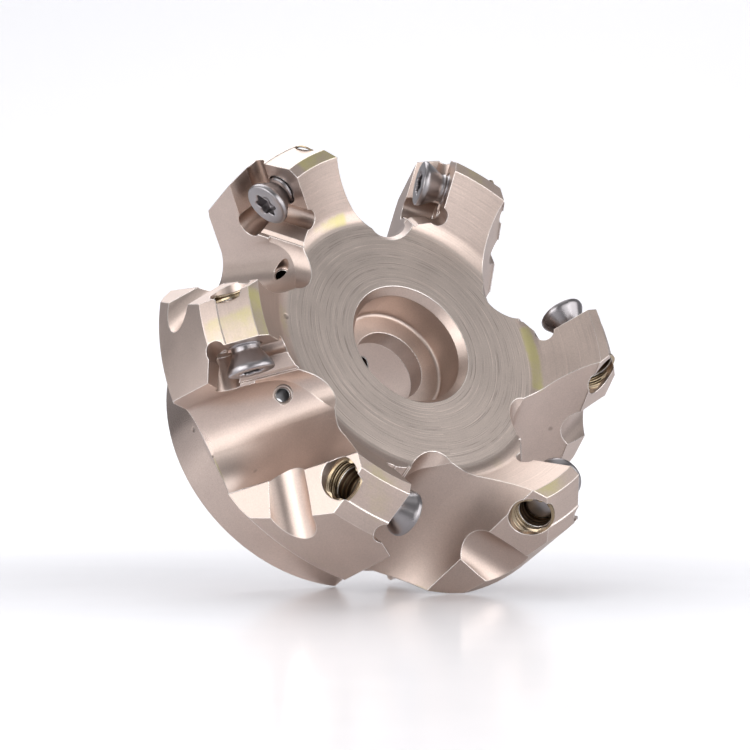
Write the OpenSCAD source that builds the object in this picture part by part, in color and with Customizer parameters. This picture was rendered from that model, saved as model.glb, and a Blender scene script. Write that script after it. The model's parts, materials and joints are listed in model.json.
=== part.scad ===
// Indexable 45 degree face mill with six insert pockets and their insert screws.
// Frame: origin on the tool axis in the back mounting face, +Z towards the cutting face,
// X along the drive slot. Each pocket is built in its own seat frame: x outward along the
// seat, y down the seat towards the back of the tool, z square to the seat.

/* [Tool size] */
// Cutting diameter with inserts fitted
cut_d = 63; // [60:0.5:66]
// Height of the bare body from the back face to the front of the teeth
body_h = 38.1; // [37:0.1:39]
// Number of teeth
teeth = 6; // [6:1:6]
// Diameter over the backs of the teeth
head_d = 72.2; // [71:0.1:73]
// Height of the lower edge of the tooth backs above the back face
head_back_z = 19; // [18:0.1:20]
// Diameter of the round neck behind the teeth
neck_d = 51.4; // [50:0.1:53]
// Angle from the drive slot to the seat edge of the first tooth
first_tooth_angle = 31.5; // [28:0.5:34]

/* [Arbor fit] */
// Arbor bore, H7
arbor_d = 22; // [20:0.1:24]
// Depth of the arbor bore from the back face
arbor_depth = 21.1; // [19:0.1:22]
// Clamp bolt hole
bolt_hole_d = 11.4; // [11:0.1:13]
// Counterbore for the clamp bolt head
bolt_head_d = 18; // [17:0.1:20]
// Height of the counterbore floor above the back face
bolt_seat_z = 24.4; // [23.5:0.1:26]
// Width of the drive slot across the back face
slot_w = 10.4; // [10:0.1:12]
// Depth of the drive slot
slot_depth = 6.3; // [5:0.1:7]

/* [Front face] */
// Depth of the flat hub face below the front of the teeth
hub_drop = 6.8; // [6:0.1:7.5]
// Radius of the fillet between the hub face and the teeth
hub_fillet_r = 4; // [3:0.1:5]
// Radial width of the flat land on the front of each tooth
nose_land = 1.75; // [1:0.05:2.5]
// Radial width of the 45 degree face behind the cutting edge
bevel_w = 3.9; // [3:0.1:4.5]
// Step between the two bevels on each tooth
bevel_step = 0.15; // [0.05:0.05:0.3]

/* [Insert seat] */
// Inscribed circle of the square insert
insert_ic = 12.7; // [12.7:0.1:12.7]
// Insert thickness
insert_t = 4.76; // [4:0.01:5]
// Clearance angle of the insert, which the seat walls follow
insert_clearance = 20; // [15:0.5:22]
// Axial rake of the seat
axial_rake = 12.6; // [10:0.1:14]
// Radial distance from the cutting circle to the seat edge of a tooth
seat_inset = 2.1; // [1.5:0.1:3]
// Middle of the insert, outward from the seat edge corner
seat_u = 0.5; // [0.4:0.05:0.8]
// Middle of the insert, down from the seat edge corner
seat_v = 5.5; // [5.4:0.05:5.9]
// Screw axis where it crosses the seat, outward from the seat edge corner
screw_u = 0.7; // [0.5:0.05:0.9]
// Screw axis where it crosses the seat, down from the seat edge corner
screw_v = 5.65; // [5.5:0.05:5.9]
// Lean of the screw axis towards the tool axis
screw_lean = 3.3; // [2:0.1:4]
// Radius of the relief groove along each seat wall
groove_r = 1.5; // [1.2:0.05:1.7]
// Radius of the round relief in the corner between the seat walls
corner_r = 2; // [1.8:0.05:2.5]

/* [Chip flute] */
// Height of the land round the insert pocket above the seat
flute_land_h = 4.45; // [4.2:0.05:4.7]
// Angle between the flute and the down-seat direction
flute_skew = 22.3; // [20:0.1:24]
// Radius of the flute wall
flute_r = 14; // [13.5:0.1:14.5]
// Radius that blends the flute wall into the land
flute_blend_r = 5; // [4:0.1:6]
// Radius of the screwdriver channel through the back of the next tooth
driver_r = 3.75; // [3:0.05:4]
// Radius of the small chip scoop beside the hub
scoop_r = 3.95; // [3.5:0.05:4.2]
// Coolant hole
coolant_d = 2; // [1.5:0.1:2.4]
// Tilt of the coolant hole from the tool axis
coolant_tilt = 36; // [34:1:40]

/* [Insert screw] */
// Thread diameter of the insert screw
screw_d = 5; // [5:0.1:5]
// Radial clearance of the screw in its hole
screw_clearance = 0.05; // [0.02:0.01:0.1]
// Head diameter
screw_head_d = 7; // [6.8:0.1:7.4]
// Overall length
screw_len = 9; // [8.5:0.1:9.5]
// Height of each head face above its seat, in order round the tool
head_heights = [3.9, 4.2, 4.4, 4.2, 4.4, 4.0];

/* [Hidden] */
$fn = 96;
steel_colour = [0.72, 0.64, 0.58];
screw_colour = [0.35, 0.34, 0.36];
far = 90;
tooth_pitch = 360 / teeth;
edge_r = cut_d / 2 - seat_inset;
hub_z = body_h - hub_drop;
head_r = head_d / 2;
neck_r = neck_d / 2;

// Front cone inside the teeth: it falls from the seat edge radius to the hub face
cone_angle = 42.6;
cone_foot_r = edge_r - hub_drop / tan(cone_angle);
fillet_reach = hub_fillet_r * tan(cone_angle / 2);
fillet_mid_r = cone_foot_r - fillet_reach;
bevel_angle = 49;
bevel_end_r = edge_r + nose_land + bevel_w * 0.84;
bevel_end_z = body_h - bevel_w * 0.84 * tan(bevel_angle);
head_front_z = bevel_end_z - (head_r - bevel_end_r + bevel_step) * tan(bevel_angle);

// Back taper and the neck fillet
taper_angle = 43.5;
neck_fillet_r = 2.5;
// The fillet circles bite this much into the faces they blend, so that no two faces only touch
fillet_bite = 0.01;
taper_foot_z = head_back_z - (head_r - neck_r) * tan(taper_angle);
neck_reach = neck_fillet_r * tan((90 - taper_angle) / 2);

heel_chamfer = 0.8;

bolt_chamfer_w = 0.95;
bolt_chamfer_h = 1.35;
bolt_corner_r = 0.6;
bore_chamfer = 0.6;
rim_chamfer = 0.5;

// Seat walls at seat level, measured from the seat corner frame turned 45 degrees
wall_lean = insert_t * tan(insert_clearance);
wall_p = (seat_v + seat_u) / sqrt(2) + insert_ic / 2 - wall_lean;
wall_q = (seat_v - seat_u) / sqrt(2) + insert_ic / 2 - wall_lean;
groove_in = 0.8;
groove_up = 0.55;
corner_p = wall_p + 0.2;
corner_q = wall_q + 0.2;
ledge_h = 3.3;
ledge_tilt = 45;
ledge_w = 0.7;
ledge_reach = 1.5;
coolant_turn = 31;
coolant_mouth_d = 2.8;
coolant_mouth_drop = 1.6;

// Flute section in the plane square to the flute
flute_cx = 0.92;
flute_cy = 6.8;
blend_cy = flute_land_h + flute_blend_r;
blend_gap = flute_r - flute_blend_r;
blend_cx = flute_cx - sqrt(blend_gap * blend_gap - pow(blend_cy - flute_cy, 2));
blend_dir = [blend_cx - flute_cx, blend_cy - flute_cy] / blend_gap;
blend_end = [flute_cx, flute_cy] + flute_r * blend_dir;
flank_top = [-5.46, 19.07];
flank_angle = 79.7;
flank_len = 60;

// Screw: rim band, long countersunk cone, thin neck and thread
rim_h = 0.75;
rim_bevel = 0.2;
cone_h = 2.35;
neck_h = 0.55;
neck_under_d = 4.2;
end_chamfer = 0.55;
socket_depth = 1.7;
tap_relief_d = 6.2;
tap_relief_h = 6.7;

// Places its children on tooth number i, with x pointing out through the seat edge
module on_tooth(i) {
    rotate([0, 0, first_tooth_angle - tooth_pitch * i])
        children();
}

// Seat frame of a tooth
module on_seat() {
    translate([edge_r, 0, body_h])
        rotate([-(90 + axial_rake), 0, 0])
            children();
}

// Seat frame turned so that x crosses wall p and y crosses wall q
module on_walls() {
    on_seat()
        rotate([0, 0, 45])
            children();
}

// Frame of a screw, z along its axis, with its origin where the axis crosses the seat
module on_screw() {
    on_seat()
        translate([screw_u, screw_v, 0])
            rotate([0, -screw_lean, 0])
                children();
}

// Turned blank, as half a section
module blank_section() {
    difference() {
        polygon([
            [0, 0],
            [neck_r - rim_chamfer, 0],
            [neck_r, rim_chamfer],
            [neck_r, taper_foot_z - neck_reach],
            [neck_r + neck_reach * cos(taper_angle), taper_foot_z + neck_reach * sin(taper_angle)],
            [head_r - heel_chamfer, head_back_z - heel_chamfer * tan(taper_angle)],
            [head_r, head_back_z + heel_chamfer / 2],
            [head_r, head_front_z],
            [bevel_end_r + bevel_step, bevel_end_z],
            [bevel_end_r, bevel_end_z],
            [edge_r + nose_land, body_h],
            [edge_r, body_h],
            [cone_foot_r + fillet_reach * cos(cone_angle), hub_z + fillet_reach * sin(cone_angle)],
            [fillet_mid_r, hub_z],
            [0, hub_z]
        ]);
        translate([fillet_mid_r, hub_z + hub_fillet_r])
            circle(r = hub_fillet_r + fillet_bite);
        translate([neck_r + neck_fillet_r, taper_foot_z - neck_reach])
            circle(r = neck_fillet_r + fillet_bite);
    }
}

// Counterbore for the clamp bolt head, with a radius round its floor
module bolt_seat_section() {
    translate([0, bolt_seat_z])
        square([bolt_head_d / 2 - bolt_corner_r, body_h]);
    translate([0, bolt_seat_z + bolt_corner_r])
        square([bolt_head_d / 2, body_h]);
    intersection() {
        translate([bolt_head_d / 2 - bolt_corner_r, bolt_seat_z + bolt_corner_r])
            circle(r = bolt_corner_r);
        translate([0, bolt_seat_z])
            square([bolt_head_d / 2, body_h]);
    }
}

// Bores for the arbor and the clamp bolt
module arbor_bores() {
    translate([0, 0, -1])
        cylinder(d = arbor_d, h = arbor_depth + 1);
    translate([0, 0, -0.01])
        cylinder(d1 = arbor_d + 2 * bore_chamfer, d2 = arbor_d, h = bore_chamfer);
    cylinder(d = bolt_hole_d, h = body_h);
    rotate_extrude()
        bolt_seat_section();
    translate([0, 0, hub_z - bolt_chamfer_h])
        cylinder(d1 = bolt_head_d, d2 = bolt_head_d + 2 * bolt_chamfer_w, h = bolt_chamfer_h);
    translate([0, 0, hub_z - 0.001])
        cylinder(d = bolt_head_d + 2 * bolt_chamfer_w, h = 1);
}

// Drive slot straight across the back face
module drive_slot() {
    translate([-far / 2, -slot_w / 2, -1])
        cube([far, slot_w, slot_depth + 1]);
}

// Section of a flute: land beside the pocket, blend, round wall, then the flank of the next tooth
module flute_section() {
    intersection() {
        translate([flute_cx, flute_cy])
            circle(r = flute_r);
        polygon([
            [flute_cx, flute_cy],
            [flute_cx, flute_cy] + 2 * flute_r * blend_dir,
            [-2 * flute_r, 2 * flute_r],
            flank_top * 2 - [flute_cx, flute_cy]
        ]);
    }
    translate([blend_cx, blend_cy])
        circle(r = flute_blend_r + fillet_bite);
    polygon([
        [flute_cx, flute_cy],
        blend_end,
        [blend_cx, blend_cy],
        [blend_cx, flute_land_h],
        [far, flute_land_h],
        [far, far],
        flank_top + flank_len * [cos(flank_angle), sin(flank_angle)],
        flank_top
    ]);
}

// Chip flute of a tooth, run out past both ends
module flute() {
    on_seat()
        rotate([0, 0, -flute_skew])
            rotate([90, 0, 0])
                linear_extrude(height = 2 * far, center = true)
                    flute_section();
}

// Everything above the seat and in front of the two leaning walls
module pocket() {
    on_walls()
        intersection() {
            translate([wall_p, 0, 0])
                rotate([0, insert_clearance, 0])
                    translate([-far, -far / 2, -far / 2])
                        cube([far, far, far]);
            translate([0, wall_q, 0])
                rotate([-insert_clearance, 0, 0])
                    translate([-far / 2, -far, -far / 2])
                        cube([far, far, far]);
            translate([-far / 2, -far / 2, 0])
                cube([far, far, 2 * insert_t]);
        }
}

// Undercuts along the walls and in their corner
module seat_reliefs() {
    on_walls() {
        translate([wall_p - groove_in, wall_q - groove_in, groove_up])
            rotate([90, 0, 0])
                cylinder(r = groove_r, h = far / 2);
        translate([wall_p - groove_in, wall_q - groove_in, groove_up])
            rotate([0, -90, 0])
                cylinder(r = groove_r, h = far / 2);
        translate([corner_p, corner_q, -groove_up])
            cylinder(r = corner_r, h = 3 * insert_t);
    }
}

// Chamfer along the top of the hub side wall
module wall_ledge() {
    on_walls()
        translate([0, wall_q + ledge_h * tan(insert_clearance), ledge_h])
            rotate([ledge_tilt, 0, 0])
                translate([-ledge_reach, -1, 0])
                    cube([corner_p + ledge_reach, ledge_w + 1, 1.5]);
}

// Tapped hole, drawn at the thread's outer diameter, and its relief from the tooth's back
module screw_hole() {
    on_screw() {
        translate([0, 0, -far / 4])
            cylinder(d = screw_d + 2 * screw_clearance, h = far / 4 + 1);
        translate([0, 0, -tap_relief_h - far / 6])
            cylinder(d = tap_relief_d, h = far / 6);
    }
}

// Channel that lets the screwdriver reach the screw past the tooth ahead
module driver_channel() {
    on_seat()
        translate([-0.97, 6.68, 12.6])
            cylinder(r = driver_r, h = far / 2);
}

// Round scoop that lets the chip past the hub
module scoop() {
    on_walls()
        translate([5.4, 8.57, 7.9])
            rotate([0, -90, 0])
                cylinder(r = scoop_r, h = far / 2);
}

// Coolant hole from the arbor bore, with a wider mouth in the flute wall
module coolant_hole() {
    translate([21.7, 3.9, 26])
        rotate([0, coolant_tilt, coolant_turn]) {
            translate([0, 0, -22.5])
                cylinder(d = coolant_d, h = 23, $fn = 48);
            translate([0, 0, -coolant_mouth_drop])
                cylinder(d = coolant_mouth_d, h = 9, $fn = 48);
        }
}

module cutter_body() {
    color(steel_colour)
        difference() {
            rotate_extrude()
                blank_section();
            arbor_bores();
            drive_slot();
            for (i = [0 : teeth - 1])
                on_tooth(i) {
                    flute();
                    pocket();
                    seat_reliefs();
                    wall_ledge();
                    screw_hole();
                    driver_channel();
                    scoop();
                    coolant_hole();
                }
        }
}

// Six-lobed socket outline
module socket_section() {
    difference() {
        union() {
            circle(r = 1.62, $fn = 48);
            for (a = [0 : 60 : 300])
                rotate([0, 0, a])
                    translate([1.5, 0])
                        circle(r = 0.45, $fn = 24);
        }
        for (a = [30 : 60 : 330])
            rotate([0, 0, a])
                translate([2.08, 0])
                    circle(r = 0.65, $fn = 24);
    }
}

// Screw along z with the middle of its head face at the origin, pointing down
module screw_shape() {
    difference() {
        rotate_extrude()
            polygon([
                [0, 0],
                [screw_head_d / 2 - rim_bevel, 0],
                [screw_head_d / 2, -rim_bevel],
                [screw_head_d / 2, -rim_h],
                [neck_under_d / 2, -rim_h - cone_h],
                [neck_under_d / 2, -rim_h - cone_h - neck_h],
                [screw_d / 2, -rim_h - cone_h - neck_h - (screw_d - neck_under_d) / 2],
                [screw_d / 2, -screw_len + end_chamfer],
                [screw_d / 2 - end_chamfer, -screw_len],
                [0, -screw_len]
            ]);
        translate([0, 0, -socket_depth])
            linear_extrude(height = socket_depth + 1)
                socket_section();
    }
}

// Insert screw of tooth i, standing at its own height
module insert_screw(i) {
    color(screw_colour)
        on_tooth(i)
            on_screw()
                translate([0, 0, head_heights[i]])
                    screw_shape();
}

cutter_body();
insert_screw(0);  // insert_screw_1
insert_screw(1);  // insert_screw_2
insert_screw(2);  // insert_screw_3
insert_screw(3);  // insert_screw_4
insert_screw(4);  // insert_screw_5
insert_screw(5);  // insert_screw_6
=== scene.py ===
import json
import math

import bpy
import numpy as np
from bpy.props import FloatProperty, FloatVectorProperty, PointerProperty
from mathutils import Matrix, Vector


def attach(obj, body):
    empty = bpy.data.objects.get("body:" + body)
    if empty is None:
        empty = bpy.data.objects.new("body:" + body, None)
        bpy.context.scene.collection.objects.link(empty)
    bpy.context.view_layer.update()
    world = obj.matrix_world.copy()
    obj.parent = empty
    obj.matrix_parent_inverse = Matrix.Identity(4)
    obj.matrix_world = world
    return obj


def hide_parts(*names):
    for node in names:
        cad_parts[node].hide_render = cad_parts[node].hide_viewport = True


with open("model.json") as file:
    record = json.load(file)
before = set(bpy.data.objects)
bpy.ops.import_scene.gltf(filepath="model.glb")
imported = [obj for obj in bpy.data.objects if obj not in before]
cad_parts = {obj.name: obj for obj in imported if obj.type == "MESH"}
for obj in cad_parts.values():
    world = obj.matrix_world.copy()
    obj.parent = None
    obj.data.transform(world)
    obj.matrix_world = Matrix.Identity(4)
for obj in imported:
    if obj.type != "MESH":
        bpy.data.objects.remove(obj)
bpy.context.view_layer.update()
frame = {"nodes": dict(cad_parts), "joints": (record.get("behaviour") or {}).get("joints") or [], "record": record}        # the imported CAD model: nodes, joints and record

bl_info = {
    "name": "Indexable face mill",
    "version": (1, 0, 0),
    "blender": (4, 5, 0),
    "location": "View3D > Sidebar > Face mill",
    "description": "Steel finishes, threaded screws, tapped hole threads and a plain stage for a face mill",
    "category": "Object",
}

MOUNTS = {m["name"]: m for m in frame["record"]["mounts"]}
TEETH = sorted(name for name in MOUNTS if name.startswith("insert_seat_"))
JOINTS = {joint["name"]: joint for joint in frame["joints"]}
MM = 0.001

# Places in a seat, in millimetres: u out along it, v down it, h square to it
SEAT_POINT = (0.75, 9.6)
SCREW_FOOT = (0.7, 5.65)
SCREW_LEAN = math.radians(3.3)
# Coolant hole in a tooth's frame, x out through the seat edge: a point of its axis and its direction
COOLANT_POINT = (21.7, 3.9, 26)
COOLANT_WAY = (0.5038, 0.3027, 0.8090)
COOLANT_R = 1.1
# The teeth: height of their front, distance of the seat edge from the tool axis, lean of the seat,
# direction of the first seat edge and angle between two teeth
FRONT_Z = 38.1
SEAT_EDGE_R = 29.4
AXIAL_RAKE = math.radians(12.6)
FIRST_TOOTH = math.radians(31.5)
TOOTH_STEP = math.pi / 3
# Back of a tooth in the tooth's frame, z from the front: y = x * BACK_PER_X + z * BACK_PER_Z - BACK_DROP
BACK_PER_X, BACK_PER_Z, BACK_DROP = 0.45, 0.49, 21.5
# Tapped hole: thread pitch, radii of the thread's crest and root and of the ring that carries it, and the
# depths below the seat of the hole's back mouth, of the ring's start and of its shallowest and deepest end
THREAD_PITCH = 0.8
CREST_R, ROOT_R, RING_R = 2.6, 3.0, 3.085
MOUTH_DEPTH, RING_START, RING_END = 8.5, 6.72, (7.0, 8.6)
# Turned surfaces, as radius and height above the back face; a slope is height gained per radius
HUB_R, HUB_Z = 21.0, 31.3
HUB_CORNER_R, HUB_CORNER_Z = (20.7, 22.9), (31.1, 34.0)
CONE_R, CONE_FOOT_R, CONE_SLOPE = (21.0, 29.4), 22.0, 0.92
LAND_R = (29.35, 31.2)
BEVEL_R, BEVEL_SLOPE, BEVEL_LEVEL = (31.15, 36.0), 1.15, 73.6
OUTER_R = 36.02
TAPER_Z, TAPER_FOOT, TAPER_SPREAD = (11.0, 19.3), (26.2, 9.6), 1.054
NECK_R, NECK_Z = 25.5, 11.0


# ---------------------------------------------------------------- sizes and colours

class FaceMillScrew(bpy.types.PropertyGroup):
    """Sizes of an insert screw."""
    head_d: FloatProperty(name="Head", description="Head diameter", default=7 * MM, unit="LENGTH")
    rim_h: FloatProperty(name="Rim", description="Height of the straight rim of the head",
                         default=0.75 * MM, unit="LENGTH")
    cone_h: FloatProperty(name="Cone", description="Length of the countersunk cone under the rim",
                          default=2.35 * MM, unit="LENGTH")
    neck_d: FloatProperty(name="Neck", description="Diameter of the neck above the thread",
                          default=4.16 * MM, unit="LENGTH")
    thread_d: FloatProperty(name="Thread", description="Outer diameter of the thread",
                            default=4.96 * MM, unit="LENGTH")
    pitch: FloatProperty(name="Pitch", description="Pitch of the thread",
                         default=THREAD_PITCH * MM, unit="LENGTH")
    length: FloatProperty(name="Length", description="Overall length", default=8.98 * MM, unit="LENGTH")
    socket_r: FloatProperty(name="Socket", description="Outer radius of the six-lobed socket",
                            default=1.93 * MM, unit="LENGTH")
    socket_depth: FloatProperty(name="Socket depth", description="Depth of the socket",
                                default=1.68 * MM, unit="LENGTH")


class FaceMillFinish(bpy.types.PropertyGroup):
    """Colours of the finishes, with the painted edge highlights and the painted shade of the thread grooves
    and coolant holes.
    """
    coating: FloatVectorProperty(name="Coating", description="Champagne nickel coating of the body",
                                 subtype="COLOR", size=3, default=(0.56, 0.455, 0.40))
    turned: FloatVectorProperty(name="Turned face", description="Turned face of the hub",
                                subtype="COLOR", size=3, default=(0.50, 0.425, 0.38))
    # Painted highlight: the colour laid along the body's edges where they would catch the light
    bright: FloatVectorProperty(name="Edge highlight", description="Bright metal along the edges",
                                subtype="COLOR", size=3, default=(0.95, 0.90, 0.86))
    oil: FloatVectorProperty(name="Oil stain", description="Dried cutting oil in corners and on lands",
                             subtype="COLOR", size=3, default=(0.56, 0.52, 0.20))
    gunmetal: FloatVectorProperty(name="Screw steel", description="Burnished steel of the screws",
                                  subtype="COLOR", size=3, default=(0.33, 0.31, 0.315))
    # Painted highlight: the colour laid along the screw rims where they would catch the light
    rim_highlight: FloatVectorProperty(name="Screw rim highlight", description="Bright metal along the rims of the screws",
                                  subtype="COLOR", size=3, default=(0.72, 0.70, 0.71))
    brass: FloatVectorProperty(name="Thread", description="Oiled metal of the tapped threads",
                               subtype="COLOR", size=3, default=(0.36, 0.28, 0.18))
    pale_brass: FloatVectorProperty(name="Thread, pale", description="Tapped threads where the oil is thin",
                                    subtype="COLOR", size=3, default=(0.46, 0.37, 0.27))
    # Painted shade: the dark colour laid in the grooves between the thread ridges
    thread_groove_shade: FloatVectorProperty(name="Thread root", description="Dark oil between the threads",
                                     subtype="COLOR", size=3, default=(0.16, 0.10, 0.06))
    # Painted shade: the near-black colour laid on the walls of the coolant holes
    hole: FloatVectorProperty(name="Coolant hole", description="Dark wall of the coolant holes",
                              subtype="COLOR", size=3, default=(0.045, 0.03, 0.025))
    nick: FloatVectorProperty(name="Nick", description="Floor of the small nicks",
                              subtype="COLOR", size=3, default=(0.25, 0.2, 0.17))


class FaceMillStage(bpy.types.PropertyGroup):
    """Camera and stage."""
    azimuth: FloatProperty(name="Camera azimuth", description="Camera direction about the tool axis",
                           default=math.radians(122.3249), unit="ROTATION")
    elevation: FloatProperty(name="Camera elevation", description="Camera height above the back face",
                             default=math.radians(47.3651), unit="ROTATION")
    roll: FloatProperty(name="Camera roll", description="Turn of the camera about its own axis",
                        default=math.radians(45.8747), unit="ROTATION")
    distance: FloatProperty(name="Camera distance", description="Distance to the aim point",
                            default=0.49037, unit="LENGTH")
    lens: FloatProperty(name="Lens", description="Focal length in millimetres on a 36 mm sensor",
                        default=154.47)
    power: FloatProperty(name="Light", description="Multiplies the power of every soft box", default=1.0)
    ambient: FloatProperty(name="Ambient", description="Strength of the surroundings", default=0.28)


# ---------------------------------------------------------------- meshes

def grid_faces(rows, columns, wrap_rows=False):
    """Quads of a grid of points numbered row by row: each quad joins neighbours in a row to the same
    neighbours in the next row. Columns always wrap round; rows wrap where asked."""
    last = rows if wrap_rows else rows - 1
    i, j = np.meshgrid(np.arange(last), np.arange(columns), indexing="ij")
    ni, nj = (i + 1) % rows, (j + 1) % columns
    quads = np.stack([i * columns + j, ni * columns + j, ni * columns + nj, i * columns + nj], axis=-1)
    return quads.reshape(-1, 4)


def make_object(name, points, faces, smooth_angle=math.radians(35)):
    """A mesh object at the origin from an array of points in metres and a list of faces."""
    mesh = bpy.data.meshes.new(name)
    mesh.from_pydata(points.tolist(), [], faces)
    mesh.validate()
    mesh.shade_smooth()
    mesh.set_sharp_from_angle(angle=smooth_angle)
    obj = bpy.data.objects.new(name, mesh)
    bpy.context.scene.collection.objects.link(obj)
    return obj


def mesh_points(obj):
    """The points of a mesh object as an array, in metres."""
    flat = np.empty(len(obj.data.vertices) * 3)
    obj.data.vertices.foreach_get("co", flat)
    return flat.reshape(-1, 3)


def seat_frame(number):
    """Matrix from a tooth's seat frame to the tool's frame. The seat normal N comes from the mount;
    the outward axis U is level and square to it; the down-seat axis is N x U."""
    mount = MOUNTS[f"insert_seat_{number}"]
    normal = Vector(mount["axis"]).normalized()
    out = Vector((normal.y, -normal.x, 0)).normalized()
    down = normal.cross(out)
    origin = Vector(mount["pos_m"]) - out * SEAT_POINT[0] * MM - down * SEAT_POINT[1] * MM
    matrix = Matrix((out, down, normal)).transposed().to_4x4()
    matrix.translation = origin
    return matrix


def screw_frame(number):
    """Matrix of a screw: its origin is where the screw's axis crosses the seat, and z runs out along
    the axis of its joint; y stays as near to the down-seat axis as it can."""
    seat = seat_frame(number)
    axis = Vector(JOINTS[f"screw_{number}_travel"]["axis"]).normalized()
    out = seat.col[1].to_3d().cross(axis).normalized()
    matrix = Matrix((out, axis.cross(out), axis)).transposed().to_4x4()
    matrix.translation = seat @ Vector((SCREW_FOOT[0] * MM, SCREW_FOOT[1] * MM, 0))
    return matrix


def placed(points, matrix):
    """Points taken through a 4x4 matrix, as one array product."""
    m = np.array(matrix)
    return points @ m[:3, :3].T + m[:3, 3]


def thread_ridge(phase):
    """Height of a rounded 60 degree ridge, 0 to 1, where phase counts turns: a triangle wave whose
    crest and root are cut flat and eased."""
    wave = np.abs((phase % 1.0) * 2 - 1)
    ridge = np.clip(wave * 1.5 - 0.25, 0, 1)
    return ridge * ridge * (3 - 2 * ridge)


# Face and rounded edge of a screw head, as shares of its radius and heights in millimetres
HEAD_EDGE = ((0.68, 0), (0.8, 0), (0.9, 0), (0.93, -0.015), (0.957, -0.05), (0.98, -0.12), (0.995, -0.2),
             (1, -0.27))


def screw_points(size, columns=96):
    """The screw as rings round z, with its head face at z = 0. The socket radius is the inner radius
    plus a lobe term that follows (1 + cos 6a) / 2; the head, cone and neck are turned; the thread
    radius is the root plus the ridge height of (z / pitch + a / 2 pi)."""
    a = np.linspace(0, 2 * np.pi, columns, endpoint=False)
    one = np.ones(columns)
    head, neck = size.head_d / 2, size.neck_d / 2
    crest = size.thread_d / 2
    root = crest - 0.4 * MM
    lobe = size.socket_r * (0.72 + 0.28 * (0.5 + 0.5 * np.cos(6 * a)) ** 0.85)
    rings = []
    for scale, depth in ((0.35, 1.0), (0.75, 0.99), (0.93, 0.96), (0.99, 0.9)):
        rings.append((lobe * scale, -size.socket_depth * depth * one))
    for depth in np.linspace(0.8, 0.08, 6):
        rings.append((lobe, -size.socket_depth * depth * one))
    for grow, z in ((0.03, -0.06), (0.09, -0.02), (0.15, 0.0)):
        rings.append((lobe + grow * MM, z * MM * one))
    for share, z in HEAD_EDGE:
        rings.append((head * share * one, z * MM * one))
    rim = size.rim_h
    for drop in (0.6, 0.9):
        rings.append((head * one, -rim * drop * one))
    rings.append(((head - 0.03 * MM) * one, -rim * one))
    for t in np.linspace(0.04, 1, 9):
        rings.append(((head + (neck - head) * t) * one, -(rim + size.cone_h * t) * one))
    top = -(rim + size.cone_h)
    for drop in (0.15, 0.3):
        rings.append((neck * one, (top - drop * MM) * one))
    start, end = top - 0.4 * MM, -size.length
    for z in np.arange(start, end + 0.02 * MM, -size.pitch / 10):
        grow = min(1.0, (start - z) / (0.8 * MM))
        ridge = thread_ridge(z / size.pitch + a / (2 * np.pi)) * grow
        chamfer = crest - max(0.0, 0.6 * MM - (z - end)) * 0.9
        rings.append((np.minimum(root + (crest - root) * ridge, chamfer), z * one))
    rings.append(((crest - 0.75 * MM) * one, end * one))
    r = np.array([ring[0] for ring in rings])
    z = np.array([ring[1] for ring in rings])
    return np.stack([r * np.cos(a), r * np.sin(a), z], axis=-1)


def closed_by_poles(rings, first, last):
    """A grid of rings with a point at each end: fans join the end rings to the points."""
    rows, columns = rings.shape[:2]
    points = np.vstack([rings.reshape(-1, 3), [first], [last]])
    quads = [list(q) for q in grid_faces(rows, columns)]
    j = np.arange(columns)
    nj = (j + 1) % columns
    end = (rows - 1) * columns
    head = np.stack([np.full(columns, rows * columns), j, nj], axis=-1)
    tail = np.stack([np.full(columns, rows * columns + 1), end + nj, end + j], axis=-1)
    return points, quads + head.tolist() + tail.tolist()


def screw_object(number, size):
    """One insert screw, standing as high as its CAD node does: the highest point of the node along
    the screw's axis gives the height of the head face."""
    matrix = screw_frame(number)
    normal = np.array(matrix.to_3x3().col[2])
    plain = mesh_points(frame["nodes"][f"insert_screw_{number}"])
    height = (plain @ normal).max() - np.array(matrix.translation) @ normal
    points, faces = closed_by_poles(screw_points(size), (0, 0, -size.socket_depth), (0, 0, -size.length))
    # Each screw stands turned by its own angle
    turn = math.radians(47 * number)
    spin = np.array([[math.cos(turn), -math.sin(turn), 0], [math.sin(turn), math.cos(turn), 0], [0, 0, 1]])
    points = placed(points @ spin.T + np.array([0, 0, height]), matrix)
    return make_object(f"threaded_screw_{number}", points, faces, math.radians(38))


def hole_thread_object(number, pitch):
    """Thread turns left standing in the back of a tapped hole: a closed ring whose inner radius is the
    root less the ridge height of (h / pitch + a / 2 pi). Its lower end stays 0.35 mm inside the slope
    of the tooth's back, between the two depths of RING_END."""
    columns, rows = 96, 34
    a = np.linspace(0, 2 * np.pi, columns, endpoint=False)
    u = SCREW_FOOT[0] + RING_R * np.cos(a) + MOUTH_DEPTH * math.tan(SCREW_LEAN)
    v = SCREW_FOOT[1] + RING_R * np.sin(a)
    sa, ca = math.sin(AXIAL_RAKE), math.cos(AXIAL_RAKE)
    back = BACK_PER_X * (SEAT_EDGE_R + u) + sa * v - BACK_PER_Z * ca * v - BACK_DROP
    back = back / (ca + BACK_PER_Z * sa)
    low = np.clip(back + 0.35, -RING_END[1], -RING_END[0])
    t = np.linspace(0, 1, rows)[:, None]
    h = -RING_START + (low + RING_START) * t
    ridge = thread_ridge(h / (pitch / MM) + a / (2 * np.pi))
    r = ROOT_R - (ROOT_R - CREST_R) * ridge
    inner = np.stack([r * np.cos(a), r * np.sin(a), h], axis=-1)
    outer = np.stack([RING_R * np.cos(a) + 0 * h, RING_R * np.sin(a) + 0 * h, h], axis=-1)[::-1]
    points = placed(np.concatenate([inner, outer]).reshape(-1, 3) * MM, screw_frame(number))
    faces = grid_faces(2 * rows, columns, wrap_rows=True).tolist()
    return make_object(f"tapped_thread_{number}", points, faces, math.radians(60))


# ---------------------------------------------------------------- node helpers

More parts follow.
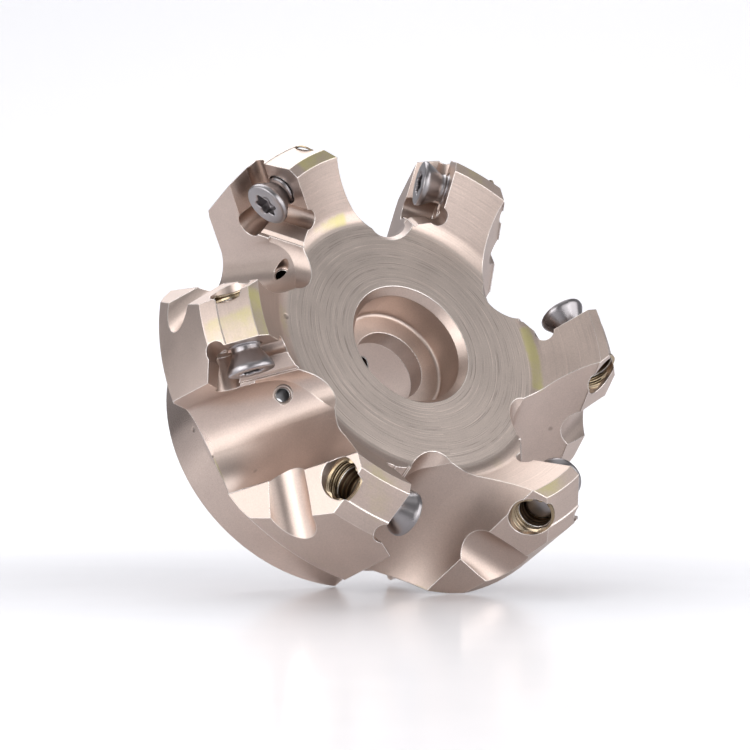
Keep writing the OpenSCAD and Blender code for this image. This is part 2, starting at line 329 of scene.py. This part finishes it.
class Tree:
    """Short calls for building a node tree. add_node, vector and place give back the whole node; each
    other call gives back the one output that is wanted."""

    def __init__(self, tree):
        self.tree = tree

    def feed(self, socket, value):
        """Links another node's output to an input, or sets the input's own value."""
        if isinstance(value, bpy.types.NodeSocket):
            self.tree.links.new(value, socket)
        else:
            socket.default_value = value

    def add_node(self, kind, inputs=None, **settings):
        node = self.tree.nodes.new(kind)
        for key, value in settings.items():
            setattr(node, key, value)
        for key, value in (inputs or {}).items():
            self.feed(node.inputs[key], value)
        return node

    def vector(self, operation, *values):
        return self.add_node("ShaderNodeVectorMath", dict(enumerate(values)), operation=operation)

    def math(self, operation, *values, clamp=False):
        inputs = dict(enumerate(values))
        return self.add_node("ShaderNodeMath", inputs, operation=operation, use_clamp=clamp).outputs[0]

    def times(self, *values):
        out = values[0]
        for value in values[1:]:
            out = self.math("MULTIPLY", out, value)
        return out

    def most(self, *values):
        out = values[0]
        for value in values[1:]:
            out = self.math("MAXIMUM", out, value)
        return out

    def leg(self, long_side, side):
        """The third side of a right-angled triangle."""
        left = self.math("SUBTRACT", self.times(long_side, long_side), self.times(side, side))
        return self.math("SQRT", self.most(left, 0.0))

    def ramp(self, value, low, high, out_low=0.0, out_high=1.0):
        node = self.add_node("ShaderNodeMapRange", {"Value": value, "From Min": low, "From Max": high,
                             "To Min": out_low, "To Max": out_high}, interpolation_type="SMOOTHSTEP")
        return node.outputs[0]

    def band(self, value, low, high, soft):
        up = self.ramp(value, low - soft, low + soft)
        down = self.ramp(value, high - soft, high + soft, 1.0, 0.0)
        return self.math("MULTIPLY", up, down)

    def noise(self, vector, scale, detail=2.0, roughness=0.5):
        node = self.add_node("ShaderNodeTexNoise", {"Vector": vector, "Scale": scale, "Detail": detail,
                             "Roughness": roughness})
        return node.outputs["Fac"]

    def mix(self, factor, first, second):
        node = self.tree.nodes.new("ShaderNodeMix")
        node.data_type = "RGBA"
        for index, value in ((0, factor), (6, first), (7, second)):
            self.feed(node.inputs[index], value)
        return node.outputs[2]

    def combine(self, x, y, z):
        return self.add_node("ShaderNodeCombineXYZ", {0: x, 1: y, 2: z}).outputs[0]

    def place(self, group, inputs=None):
        node = self.tree.nodes.new("ShaderNodeGroup")
        node.node_tree = group
        for key, value in (inputs or {}).items():
            self.feed(node.inputs[key], value)
        return node


def new_group(name, inputs, outputs):
    """A shader node group with named sockets: (name, socket type, default)."""
    group = bpy.data.node_groups.new(name, "ShaderNodeTree")
    for label, kind, default in inputs:
        socket = group.interface.new_socket(label, in_out="INPUT", socket_type=kind)
        if default is not None:
            socket.default_value = default
    for label, kind in outputs:
        group.interface.new_socket(label, in_out="OUTPUT", socket_type=kind)
    tree = Tree(group)
    return group, tree, tree.add_node("NodeGroupInput"), tree.add_node("NodeGroupOutput")


def group_once(name, build):
    """The named node group, built the first time it is asked for."""
    return bpy.data.node_groups.get(name) or build(name)


def build_tool_zones(name):
    """Where a point of the body lies: radius, height and direction about the tool axis in millimetres
    and degrees, and a mask for each turned surface, for the coolant holes and for the tapped holes,
    which are found in the seat frame of the nearest tooth."""
    group, t, given, out = new_group(
        name, [("Position", "NodeSocketVector", None)],
        [(label, "NodeSocketFloat") for label in
         ("Radius", "Height", "Hub", "Cone", "Land", "Bevel", "Outer", "Taper", "Neck", "Coolant",
          "Tapped", "Thread", "Azimuth")]
        + [("Polar", "NodeSocketVector")])
    scaled = t.vector("MULTIPLY", given.outputs[0], (1000, 1000, 1000))
    part = t.add_node("ShaderNodeSeparateXYZ", {0: scaled.outputs[0]})
    x, y, z = part.outputs
    radius = t.math("SQRT", t.math("ADD", t.times(x, x), t.times(y, y)))
    angle = t.math("ARCTAN2", y, x)
    turned = t.math("SUBTRACT", angle, FIRST_TOOTH)
    sector = t.math("ROUND", t.math("DIVIDE", turned, TOOTH_STEP))
    local = t.math("SUBTRACT", turned, t.times(sector, TOOTH_STEP))
    lx = t.times(radius, t.math("COSINE", local))
    ly = t.times(radius, t.math("SINE", local))
    lz = t.math("SUBTRACT", z, FRONT_Z)
    sa, ca = math.sin(AXIAL_RAKE), math.cos(AXIAL_RAKE)
    u = t.math("SUBTRACT", lx, SEAT_EDGE_R)
    v = t.math("SUBTRACT", t.times(ly, -sa), t.times(lz, ca))
    h = t.math("SUBTRACT", t.times(ly, ca), t.times(lz, sa))
    cone_z = t.math("ADD", HUB_Z, t.times(t.math("SUBTRACT", radius, CONE_FOOT_R), CONE_SLOPE))
    off_cone = t.math("ABSOLUTE", t.math("SUBTRACT", z, cone_z))
    bevel_level = t.math("ADD", z, t.times(radius, BEVEL_SLOPE))
    taper_r = t.times(t.math("SUBTRACT", z, TAPER_FOOT[1]), TAPER_SPREAD)
    off_taper = t.math("ABSOLUTE", t.math("SUBTRACT", t.math("SUBTRACT", radius, TAPER_FOOT[0]), taper_r))
    # Distance from the coolant hole's axis, by Pythagoras from the length along it
    start = t.vector("SUBTRACT", t.combine(lx, ly, z), COOLANT_POINT).outputs[0]
    along = t.vector("DOT_PRODUCT", start, COOLANT_WAY).outputs["Value"]
    off_line = t.leg(t.vector("LENGTH", start).outputs["Value"], along)
    # Distance from the leaning screw axis, and the tapped thread as a helix round it
    screw_u = t.math("ADD", t.math("SUBTRACT", u, SCREW_FOOT[0]), t.times(h, math.tan(SCREW_LEAN)))
    screw_v = t.math("SUBTRACT", v, SCREW_FOOT[1])
    off_screw = t.math("SQRT", t.math("ADD", t.times(screw_u, screw_u), t.times(screw_v, screw_v)))
    round_hole = t.math("DIVIDE", t.math("ARCTAN2", screw_v, screw_u), 2 * math.pi)
    turns = t.math("ADD", t.math("DIVIDE", h, THREAD_PITCH), round_hole)
    ridge = t.math("ABSOLUTE", t.math("SUBTRACT", t.times(t.math("FRACT", turns), 2.0), 1.0))
    zones = {
        "Radius": radius,
        "Height": z,
        "Hub": t.times(t.ramp(radius, HUB_R - 0.3, HUB_R + 0.3, 1, 0),
                       t.band(z, HUB_Z - 0.1, HUB_Z + 0.1, 0.05)),
        "Cone": t.times(t.band(radius, *CONE_R, 0.3), t.ramp(off_cone, 0.25, 0.5, 1, 0)),
        "Land": t.times(t.band(radius, *LAND_R, 0.05), t.ramp(z, FRONT_Z - 0.15, FRONT_Z - 0.05)),
        "Bevel": t.times(t.band(radius, *BEVEL_R, 0.1),
                         t.ramp(bevel_level, BEVEL_LEVEL - 0.2, BEVEL_LEVEL + 0.2)),
        "Outer": t.ramp(radius, OUTER_R - 0.04, OUTER_R + 0.04),
        "Taper": t.times(t.band(z, *TAPER_Z, 0.2), t.ramp(off_taper, 0.3, 0.7, 1, 0)),
        "Neck": t.times(t.ramp(z, NECK_Z - 0.5, NECK_Z + 0.5, 1, 0),
                        t.ramp(radius, NECK_R - 0.1, NECK_R + 0.1)),
        "Coolant": t.ramp(off_line, COOLANT_R - 0.02, COOLANT_R + 0.1, 1, 0),
        "Tapped": t.times(t.ramp(off_screw, CREST_R + 0.02, CREST_R + 0.1, 1, 0),
                          t.ramp(h, -0.8, -0.4, 1, 0)),
        "Thread": t.times(ridge, ridge),
        "Azimuth": t.math("DEGREES", angle),
        "Polar": t.combine(radius, t.times(angle, radius), z),
    }
    for label, found in zones.items():
        group.links.new(found, out.inputs[label])
    return group


def build_edge_bevel_mask(name):
    """How far the eased normal of an edge leans from the surface's own: 0 on a flat, up to 1 on an outside
    or inside corner within the given distance; the materials paint edge highlights with it. Also gives the
    eased normal."""
    group, t, given, out = new_group(
        name, [("Distance", "NodeSocketFloat", 0.0002)],
        [("Mask", "NodeSocketFloat"), ("Normal", "NodeSocketVector")])
    bevel = t.add_node("ShaderNodeBevel", {"Radius": given.outputs[0]}, samples=6)
    geometry = t.add_node("ShaderNodeNewGeometry")
    agreement = t.vector("DOT_PRODUCT", bevel.outputs[0], geometry.outputs["Normal"]).outputs["Value"]
    mask = t.ramp(agreement, 0.997, 0.93)
    group.links.new(mask, out.inputs[0])
    group.links.new(bevel.outputs[0], out.inputs[1])
    return group


def build_fine_grain(name):
    """A peened, matt grain: a noise of about a fifth of a millimetre, as a height, and a slow
    unevenness over several millimetres."""
    group, t, given, out = new_group(
        name, [("Position", "NodeSocketVector", None), ("Scale", "NodeSocketFloat", 4600.0)],
        [("Height", "NodeSocketFloat"), ("Slow", "NodeSocketFloat")])
    fine = t.noise(given.outputs[0], given.outputs[1], 3.0, 0.6)
    slow = t.noise(given.outputs[0], 130.0, 4.0, 0.6)
    group.links.new(fine, out.inputs[0])
    group.links.new(slow, out.inputs[1])
    return group


def build_turning_rings(name):
    """Lathe feed marks: noise that changes with the radius and hardly round the circle, as a height in
    two spacings, and as broken lines, where light ones count up and dark ones down."""
    group, t, given, out = new_group(
        name, [("Polar", "NodeSocketVector", None), ("Pitch", "NodeSocketFloat", 0.27)],
        [("Height", "NodeSocketFloat"), ("Lines", "NodeSocketFloat")])
    part = t.add_node("ShaderNodeSeparateXYZ", {0: given.outputs[0]})
    r, arc, z = part.outputs
    drift = t.times(t.noise(t.combine(t.times(r, 0.05), t.times(arc, 0.02), 0.0), 1.0, 1.0), 0.25)
    along = t.math("ADD", r, drift)
    scaled = t.math("DIVIDE", along, given.outputs[1])
    fine = t.noise(t.combine(scaled, t.times(arc, 0.02), z), 1.9, 2.0, 0.6)
    wide = t.noise(t.combine(scaled, t.times(arc, 0.03), 7.0), 0.45, 2.0, 0.5)
    broken = t.noise(t.combine(t.times(scaled, 0.4), t.times(arc, 0.3), 3.0), 1.0, 2.0)
    dark = t.times(t.ramp(fine, 0.5, 0.68), t.ramp(broken, 0.35, 0.6))
    light = t.times(t.ramp(fine, 0.46, 0.3), t.ramp(broken, 0.3, 0.6))
    group.links.new(t.math("ADD", t.times(fine, 0.9), t.times(wide, 0.2)), out.inputs[0])
    group.links.new(t.math("SUBTRACT", light, dark), out.inputs[1])
    return group


def build_oil_stain(name):
    """Dried oil: patches of a slow noise with ragged rims, where the given weight lets them lie."""
    group, t, given, out = new_group(
        name, [("Position", "NodeSocketVector", None), ("Weight", "NodeSocketFloat", 1.0)],
        [("Mask", "NodeSocketFloat")])
    slow = t.noise(given.outputs[0], 75.0, 2.0, 0.5)
    ragged = t.noise(given.outputs[0], 900.0, 3.0, 0.65)
    level = t.math("ADD", slow, t.times(t.math("SUBTRACT", ragged, 0.5), 0.18))
    reach = t.math("SUBTRACT", 0.74, t.times(given.outputs[1], 0.3))
    mask = t.ramp(t.math("SUBTRACT", level, reach), -0.06, 0.2)
    group.links.new(t.times(mask, t.ramp(given.outputs[1], 0.0, 0.3)), out.inputs[0])
    return group


def new_material(name):
    """A material with its node tree cleared down to one output."""
    material = bpy.data.materials.new(name)
    material.use_nodes = True
    material.node_tree.nodes.clear()
    return material, Tree(material.node_tree)


def finish_material(t, shader):
    out = t.add_node("ShaderNodeOutputMaterial")
    t.tree.links.new(shader.outputs[0], out.inputs[0])


def rgba(colour):
    return (*colour, 1.0)


def body_material(finish):
    """Nickel coated steel: fine grain all over, lathe rings on the turned faces, polished neck,
    oil in the corners and on the lands, painted highlights along the edges, painted shade in the thread
    grooves and coolant holes, and a few nicks."""
    material, t = new_material("coated_steel")
    position = t.add_node("ShaderNodeTexCoord").outputs["Object"]
    zones = t.place(group_once("tool_zones", build_tool_zones), {"Position": position}).outputs
    grain = t.place(group_once("fine_grain", build_fine_grain), {"Position": position}).outputs
    rings = t.place(group_once("turning_rings", build_turning_rings), {"Polar": zones["Polar"]}).outputs
    edge_bevel = t.place(group_once("edge_bevel_mask", build_edge_bevel_mask), {"Distance": 0.0002}).outputs

    def side(azimuth, half):
        """1 within so many degrees of a direction, easing to 0 over the next five."""
        away = t.math("ABSOLUTE", t.math("SUBTRACT", zones["Azimuth"], azimuth))
        return t.ramp(away, half, half + 5, 1, 0)

    hub_corner = t.times(t.band(zones["Radius"], *HUB_CORNER_R, 0.7),
                         t.band(zones["Height"], *HUB_CORNER_Z, 0.4))
    wet = t.most(side(-100, 13), t.times(side(21, 8), 0.75), t.times(side(79, 7), 0.6), 0.12)
    marked = t.most(side(20, 6), side(85, 6), 0.35)
    weight = t.most(
        t.times(hub_corner, wet, 1.5), t.times(zones["Land"], marked, 1.25),
        t.times(zones["Bevel"], side(87, 3), 1.4), t.times(zones["Bevel"], 0.2),
        t.times(zones["Taper"], 0.6), t.times(zones["Outer"], 0.2))
    stain = t.place(group_once("oil_stain", build_oil_stain), {"Position": position, "Weight": weight})
    oil = stain.outputs[0]

    turned = t.most(zones["Hub"], t.times(zones["Cone"], 0.35), t.times(zones["Bevel"], 0.15))
    base = t.mix(zones["Hub"], rgba(finish.coating), rgba(finish.turned))
    shade = t.math("ADD", 0.86, t.times(grain["Slow"], 0.28))
    speck = t.math("ADD", 0.81, t.times(grain["Height"], 0.38))
    tone = t.times(shade, speck, t.math("ADD", 1.0, t.times(rings["Lines"], t.times(turned, 0.3))))
    grey = t.combine(tone, tone, tone)
    toned = t.vector("MULTIPLY", base, grey).outputs[0]
    stained = t.mix(t.times(oil, 0.7), toned, rgba(finish.oil))
    # Painted shade: the tapped hole's wall darkens toward its thread roots and takes the thread colour on
    # the ridges
    thread = t.mix(zones["Thread"], rgba(finish.thread_groove_shade), rgba(finish.brass))
    tapped = t.mix(zones["Tapped"], stained, thread)
    # Painted shade: the walls of the coolant holes are coloured nearly black
    hole_shaded = t.mix(zones["Coolant"], tapped, rgba(finish.hole))
    # Painted highlight: edges lightened toward the edge colour, 0.88 at most, by the bevel mask
    highlighted = t.mix(t.times(edge_bevel["Mask"], 0.88), hole_shaded, rgba(finish.bright))

    cells = t.add_node("ShaderNodeTexVoronoi", {"Vector": position, "Scale": 160.0}, feature="F1")
    lot = t.add_node("ShaderNodeSeparateColor", {0: cells.outputs["Color"]}).outputs[0]
    chosen = t.ramp(lot, 0.86, 0.87)
    nick = t.times(t.ramp(cells.outputs["Distance"], 0.05, 0.1, 1, 0), chosen)
    coloured = t.mix(t.times(nick, 0.5), highlighted, rgba(finish.nick))

    rough = t.math("ADD", 0.31, t.times(grain["Slow"], 0.12))
    rough = t.math("ADD", rough, t.times(turned, 0.04))
    rough = t.math("SUBTRACT", rough, t.times(zones["Neck"], 0.2))
    rough = t.math("SUBTRACT", rough, t.times(edge_bevel["Mask"], 0.1))
    rough = t.math("ADD", rough, t.times(oil, 0.08), clamp=True)

    height = t.math("ADD", t.times(grain["Height"], 0.55), t.times(rings["Height"], turned, 1.7))
    height = t.math("SUBTRACT", height, t.times(nick, 3.0))
    height = t.math("ADD", height, t.times(zones["Tapped"], zones["Thread"], 9.0))
    bump = t.add_node("ShaderNodeBump", {"Strength": 0.62, "Distance": 0.00002, "Height": height,
                                         "Normal": edge_bevel["Normal"]})
    shader = t.add_node("ShaderNodeBsdfPrincipled", {
        "Base Color": coloured, "Roughness": rough, "Normal": bump.outputs[0], "Metallic": 1.0})
    finish_material(t, shader)
    return material


def screw_material(finish):
    """Burnished screw steel: dark, with fine turning streaks and a painted highlight along its rims."""
    material, t = new_material("screw_steel")
    position = t.add_node("ShaderNodeTexCoord").outputs["Object"]
    grain = t.place(group_once("fine_grain", build_fine_grain),
                    {"Position": position, "Scale": 7000.0}).outputs
    edge_bevel = t.place(group_once("edge_bevel_mask", build_edge_bevel_mask), {"Distance": 0.00012}).outputs
    shade = t.math("ADD", 0.7, t.times(grain["Slow"], 0.6))
    grey = t.combine(shade, shade, shade)
    base = t.vector("MULTIPLY", tuple(finish.gunmetal), grey).outputs[0]
    # Painted highlight along the rims: the rim colour laid in by the edge mask, 0.55 at most
    coloured = t.mix(t.times(edge_bevel["Mask"], 0.55), base, rgba(finish.rim_highlight))
    rough = t.math("ADD", 0.22, t.times(grain["Slow"], 0.14))
    bump = t.add_node("ShaderNodeBump", {"Strength": 0.35, "Distance": 0.00001, "Height": grain["Height"],
                                         "Normal": edge_bevel["Normal"]})
    shader = t.add_node("ShaderNodeBsdfPrincipled", {
        "Base Color": coloured, "Roughness": rough, "Normal": bump.outputs[0], "Metallic": 1.0})
    finish_material(t, shader)
    return material


def thread_material(finish):
    """Oiled tapped thread: warm and glossy, darker where oil has gathered."""
    material, t = new_material("oiled_thread")
    position = t.add_node("ShaderNodeTexCoord").outputs["Object"]
    grain = t.place(group_once("fine_grain", build_fine_grain),
                    {"Position": position, "Scale": 6000.0}).outputs
    coloured = t.mix(t.ramp(grain["Slow"], 0.35, 0.65), rgba(finish.brass), rgba(finish.pale_brass))
    rough = t.math("ADD", 0.16, t.times(grain["Height"], 0.16))
    bump = t.add_node("ShaderNodeBump", {"Strength": 0.3, "Distance": 0.00001, "Height": grain["Height"]})
    shader = t.add_node("ShaderNodeBsdfPrincipled", {
        "Base Color": coloured, "Roughness": rough, "Normal": bump.outputs[0], "Metallic": 1.0})
    finish_material(t, shader)
    return material


# ---------------------------------------------------------------- operators

class FACEMILL_OT_body_finish(bpy.types.Operator):
    """Gives the cutter body its coated and turned steel"""
    bl_idname = "facemill.body_finish"
    bl_label = "Finish the body"

    def execute(self, context):
        body = frame["nodes"]["cutter_body"]
        material = body_material(context.scene.facemill_finish)
        body.data.materials.clear()
        body.data.materials.append(material)
        return {"FINISHED"}


class FACEMILL_OT_screws(bpy.types.Operator):
    """Builds the insert screws, with sockets and threads, in place of the plain ones"""
    bl_idname = "facemill.screws"
    bl_label = "Build the insert screws"

    def execute(self, context):
        material = screw_material(context.scene.facemill_finish)
        for number in range(1, len(TEETH) + 1):
            screw = screw_object(number, context.scene.facemill_screw)
            screw.data.materials.append(material)
            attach(screw, f"screw_{number}")
            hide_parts(f"insert_screw_{number}")
            plain = frame["nodes"][f"insert_screw_{number}"]
            plain.data.materials.clear()
            plain.data.materials.append(material)
        return {"FINISHED"}


class FACEMILL_OT_hole_threads(bpy.types.Operator):
    """Builds the thread turns seen in the back of each tapped hole"""
    bl_idname = "facemill.hole_threads"
    bl_label = "Build the tapped threads"

    def execute(self, context):
        material = thread_material(context.scene.facemill_finish)
        for number in range(1, len(TEETH) + 1):
            ring = hole_thread_object(number, context.scene.facemill_screw.pitch)
            ring.data.materials.append(material)
            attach(ring, "cutter")
        return {"FINISHED"}


def camera_axes(stage):
    """Right, up and back of the camera from its azimuth, elevation and roll about the tool axis."""
    back = Vector((math.cos(stage.elevation) * math.cos(stage.azimuth),
                   math.cos(stage.elevation) * math.sin(stage.azimuth), math.sin(stage.elevation)))
    level = (Vector((0, 0, 1)) - back * back.z).normalized()
    side = level.cross(back)
    right = side * math.cos(stage.roll) + level * math.sin(stage.roll)
    return right, back.cross(right), back


class FACEMILL_OT_stage(bpy.types.Operator):
    """Sets up the pale sweep that the tool stands on, the soft lights and the camera"""
    bl_idname = "facemill.stage"
    bl_label = "Set up the stage"
    aim_mm = (0.84, -0.4985, 19.8014)
    # How far the floor's normal leans from the camera's up axis towards the camera
    floor_lean = math.radians(1.03)
    # The floor lies this far under the tool's lowest point, so that the two never coincide
    floor_gap = 0.05 * MM
    # Soft boxes: way to each from the tool (right, up, towards the camera), distance, width and power
    soft_boxes = {
        "key_left": ((-0.67, 0.41, 0.62), 0.68, 0.45, 0.64),
        "wall_left": ((-0.95, 0.15, 0.25), 1.0, 0.9, 4.2),
        "front_left": ((-0.6, 0.1, 0.8), 1.0, 0.7, 3.7),
        "wall_right": ((0.95, 0.2, 0.3), 1.0, 0.9, 5.8),
        "front_right": ((0.6, 0.1, 0.8), 1.0, 0.7, 2.9),
        "overhead": ((-0.05, 0.95, 0.2), 1.0, 0.9, 1.3),
        "top_back": ((-0.2, 0.8, -0.55), 1.0, 0.9, 6.0),
    }

    def execute(self, context):
        stage = context.scene.facemill_stage
        right, up, back = camera_axes(stage)
        aim = Vector(self.aim_mm) * MM
        camera = bpy.data.cameras.new("camera")
        camera.lens = stage.lens
        camera.sensor_width = 36
        camera.clip_start, camera.clip_end = 0.01, 20
        holder = bpy.data.objects.new("camera", camera)
        holder.matrix_world = Matrix.Translation(aim + back * stage.distance) @ Matrix(
            (right, up, back)).transposed().to_4x4()
        context.scene.collection.objects.link(holder)
        context.scene.camera = holder

        normal = (up * math.cos(self.floor_lean) + back * math.sin(self.floor_lean)).normalized()
        ahead = right.cross(normal) * -1
        lowest = (mesh_points(frame["nodes"]["cutter_body"]) @ np.array(normal)).min()
        foot = normal * (lowest - self.floor_gap)
        self.sweep(foot, right, ahead, normal)
        for name, (way, reach, size, power) in self.soft_boxes.items():
            toward = (right * way[0] + up * way[1] + back * way[2]).normalized()
            self.light(name, aim + toward * reach, aim, size, power * stage.power)
        self.world(context.scene, stage.ambient)
        return {"FINISHED"}

    def sweep(self, foot, right, ahead, normal):
        """Floor and back wall in one sheet: straight along the floor, a quarter circle up, straight up.
        Seen from behind it is clear, and the camera sees it a little brighter than the lamps make it, least
        so near the tool's foot, which is painted shade around the tool."""
        radius, near, depth, rise, width = 0.5, -1.0, 0.9, 1.2, 2.4
        t = np.linspace(0, np.pi / 2, 40)
        run = np.concatenate([[near, depth - 0.4], depth + radius * np.sin(t), [depth + radius]])
        lift = np.concatenate([[0, 0], radius - radius * np.cos(t), [radius + rise]])
        across = np.linspace(-width, width, 3)
        points = (np.array(foot) + run[:, None, None] * np.array(ahead)
                  + lift[:, None, None] * np.array(normal) + across[None, :, None] * np.array(right))
        rows, columns = points.shape[:2]
        i, j = np.meshgrid(np.arange(rows - 1), np.arange(columns - 1), indexing="ij")
        corner, over = i * columns + j, (i + 1) * columns + j
        faces = np.stack([corner, corner + 1, over + 1, over], axis=-1).reshape(-1, 4).tolist()
        floor = make_object("sweep", points.reshape(-1, 3), faces)
        if Vector(floor.data.polygons[0].normal).dot(normal) < 0:
            floor.data.flip_normals()
        material, t = new_material("pale_sweep")
        position = t.add_node("ShaderNodeTexCoord").outputs["Object"]
        away = t.vector("DISTANCE", position, foot).outputs["Value"]
        # Camera-only glow, weakest near the tool's foot: painted shade around the tool on the floor,
        # brighter farther out
        foot_dimmed_glow = t.math("ADD", t.ramp(away, 0.02, 0.11, 0.08, 0.3), t.ramp(away, 0.1, 0.5, 0.0, 0.12))
        seen = t.times(t.add_node("ShaderNodeLightPath").outputs["Is Camera Ray"], foot_dimmed_glow)
        ripple = t.add_node("ShaderNodeBump", {"Strength": 0.15, "Distance": 0.002,
                                               "Height": t.noise(position, 18.0, 2.0)})
        shader = t.add_node("ShaderNodeBsdfPrincipled", {
            "Base Color": (0.90, 0.895, 0.92, 1), "Roughness": 0.16, "Emission Color": (0.98, 0.98, 1, 1),
            "Emission Strength": seen, "Normal": ripple.outputs[0]})
        clear = t.add_node("ShaderNodeBsdfTransparent")
        side = t.add_node("ShaderNodeNewGeometry").outputs["Backfacing"]
        mix = t.add_node("ShaderNodeMixShader", {0: side, 1: shader.outputs[0], 2: clear.outputs[0]})
        finish_material(t, mix)
        floor.data.materials.append(material)

    def light(self, name, place, aim, size, power):
        """A square soft light that faces the aim point."""
        light = bpy.data.lights.new(name, "AREA")
        light.shape, light.size, light.energy = "SQUARE", size, power
        light.color = (0.985, 0.99, 1.0)
        holder = bpy.data.objects.new(name, light)
        turn = (place - aim).to_track_quat("Z", "Y").to_matrix().to_4x4()
        holder.matrix_world = Matrix.Translation(place) @ turn
        holder.visible_camera = False
        bpy.context.scene.collection.objects.link(holder)

    def world(self, scene, strength):
        """Even, dim surroundings."""
        world = bpy.data.worlds.new("surroundings")
        world.use_nodes = True
        sky = world.node_tree.nodes["Background"]
        sky.inputs[0].default_value = (0.97, 0.97, 1.0, 1)
        sky.inputs[1].default_value = strength
        scene.world = world
        scene.view_settings.view_transform = "Standard"


class FACEMILL_PT_panel(bpy.types.Panel):
    """Shows the face mill's settings and buttons for its steps in the sidebar"""
    bl_idname = "FACEMILL_PT_panel"
    bl_label = "Face mill"
    bl_space_type = "VIEW_3D"
    bl_region_type = "UI"
    bl_category = "Face mill"

    def draw(self, context):
        for group in GROUPS:
            settings = getattr(context.scene, group)
            box = self.layout.box()
            for name in settings.bl_rna.properties.keys():
                if name not in ("rna_type", "name"):
                    box.prop(settings, name)
        for operator in OPERATORS:
            self.layout.operator(operator.bl_idname)


OPERATORS = (FACEMILL_OT_body_finish, FACEMILL_OT_screws, FACEMILL_OT_hole_threads, FACEMILL_OT_stage)
GROUPS = {
    "facemill_screw": FaceMillScrew,
    "facemill_finish": FaceMillFinish,
    "facemill_stage": FaceMillStage,
}


def register():
    for cls in (*GROUPS.values(), *OPERATORS, FACEMILL_PT_panel):
        bpy.utils.register_class(cls)
    for name, cls in GROUPS.items():
        setattr(bpy.types.Scene, name, PointerProperty(type=cls))


def unregister():
    for name in GROUPS:
        delattr(bpy.types.Scene, name)
    for cls in (FACEMILL_PT_panel, *reversed(OPERATORS), *GROUPS.values()):
        bpy.utils.unregister_class(cls)


def main():
    register()
    bpy.ops.facemill.body_finish()
    bpy.ops.facemill.screws()
    bpy.ops.facemill.hole_threads()
    bpy.ops.facemill.stage()


if __name__ == "__main__":
    main()
